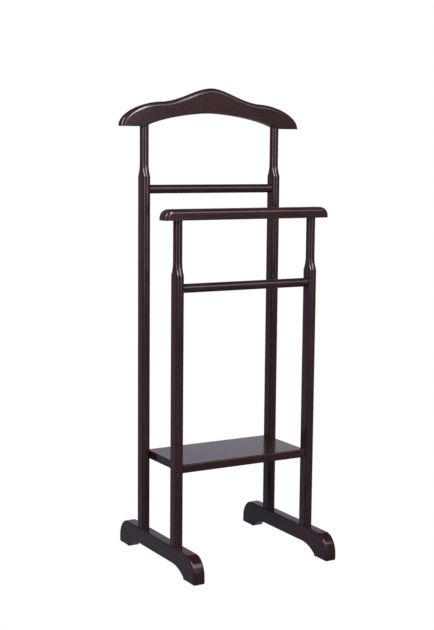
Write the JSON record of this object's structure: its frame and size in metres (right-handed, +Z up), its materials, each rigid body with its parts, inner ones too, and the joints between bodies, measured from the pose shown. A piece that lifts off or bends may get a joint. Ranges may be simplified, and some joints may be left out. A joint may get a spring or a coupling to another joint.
{
  "type": "valet stand",
  "caption": "Free-standing wooden valet stand with arched feet, round-edged posts with round necks, a shoulder yoke, a lower front rail, trouser bars and a low shelf.",
  "frame": {"origin": "on the floor, under the middle of the feet's length and midway between them", "axes": "+Z up, +X to the right seen from the front, +Y to the back; the low rail is at the front, towards -Y"},
  "size_m": [0.468, 0.366, 1.0663],
  "materials": {
    "stained_wood": "solid hardwood, dark espresso stain under satin clear lacquer",
    "plain_wood": "bare beech dowel",
    "zinc_steel": "bright zinc plated",
    "zinc_alloy": "yellow zinc plated threaded insert"
  },
  "bodies": {
    "root": {"foot_left": "stained_wood", "foot_right": "stained_wood", "post_rear_left": "stained_wood", "post_rear_right": "stained_wood", "post_front_left": "stained_wood", "post_front_right": "stained_wood", "hanger_yoke": "stained_wood", "front_top_rail": "stained_wood", "rear_trouser_bar": "stained_wood", "front_trouser_bar": "stained_wood", "shelf": "stained_wood", "foot_bolt_rear_left": "zinc_steel", "foot_bolt_rear_right": "zinc_steel", "foot_bolt_front_left": "zinc_steel", "foot_bolt_front_right": "zinc_steel", "foot_washer_rear_left": "zinc_steel", "foot_washer_rear_right": "zinc_steel", "foot_washer_front_left": "zinc_steel", "foot_washer_front_right": "zinc_steel", "post_insert_rear_left": "zinc_alloy", "post_insert_rear_right": "zinc_alloy", "post_insert_front_left": "zinc_alloy", "post_insert_front_right": "zinc_alloy", "shelf_dowel_rear_left": "plain_wood", "shelf_dowel_rear_right": "plain_wood", "shelf_dowel_front_left": "plain_wood", "shelf_dowel_front_right": "plain_wood"}
  },
  "joints": []
}
